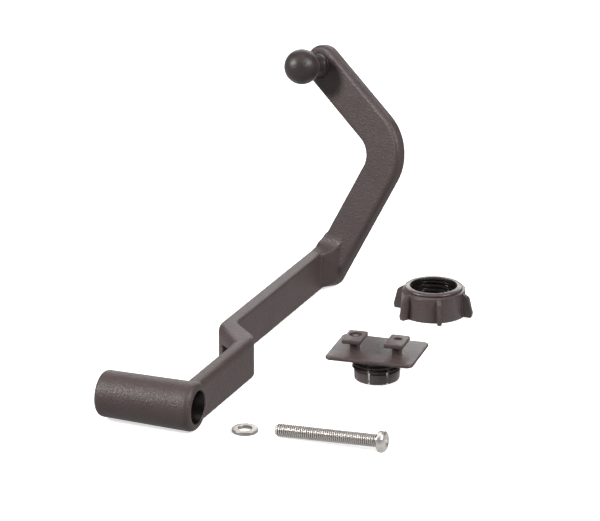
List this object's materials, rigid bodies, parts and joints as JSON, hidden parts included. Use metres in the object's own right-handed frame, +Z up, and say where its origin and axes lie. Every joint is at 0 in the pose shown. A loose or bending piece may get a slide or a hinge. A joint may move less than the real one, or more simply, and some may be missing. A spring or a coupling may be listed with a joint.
{
  "type": "ball-mount device arm kit",
  "caption": "Moulded plastic device-mount arm with a clamp sleeve and a ball stud, laid out with its collar nut, T-tab adapter, washer and button-head bolt.",
  "frame": {"origin": "centre of the bounding box of the laid-out kit, on the table it lies on", "axes": "+Y along the arm's bar away from its clamp sleeve, +X along the sleeve's axis towards its open mouth, +Z up"},
  "size_m": [0.136, 0.2402, 0.1181],
  "materials": {
    "grained_plastic": "fine moulded grain, dark brown-grey",
    "satin_plastic": "satin, dark brown-grey",
    "gloss_plastic": "glossy, near black",
    "stainless_steel": "bright rolled and turned steel"
  },
  "bodies": {
    "arm": {"arm_moulding": "grained_plastic", "ball_stud": "grained_plastic"},
    "adapter": {"collet_socket": "gloss_plastic", "tab_plate": "satin_plastic"},
    "collar": {"collar_nut": "gloss_plastic"},
    "washer_body": {"washer": "stainless_steel"},
    "bolt": {"button_head_bolt": "stainless_steel"}
  },
  "joints": [
    {"name": "adapter_lift", "type": "slide", "parent": "arm", "child": "adapter", "axis": [0, 0, 1], "range_m": [0, 0.15]},
    {"name": "collar_turn", "type": "hinge", "parent": "arm", "child": "collar", "pos_m": [0.02275, 0.0757, 0], "axis": [0, 0, 1], "continuous": true},
    {"name": "washer_lift", "type": "slide", "parent": "arm", "child": "washer_body", "axis": [0, 0, 1], "range_m": [0, 0.12]},
    {"name": "bolt_turn", "type": "hinge", "parent": "arm", "child": "bolt", "pos_m": [0.0146, -0.10035, 0.00295], "axis": [0.9989, 0.0105, 0.046], "continuous": true}
  ]
}
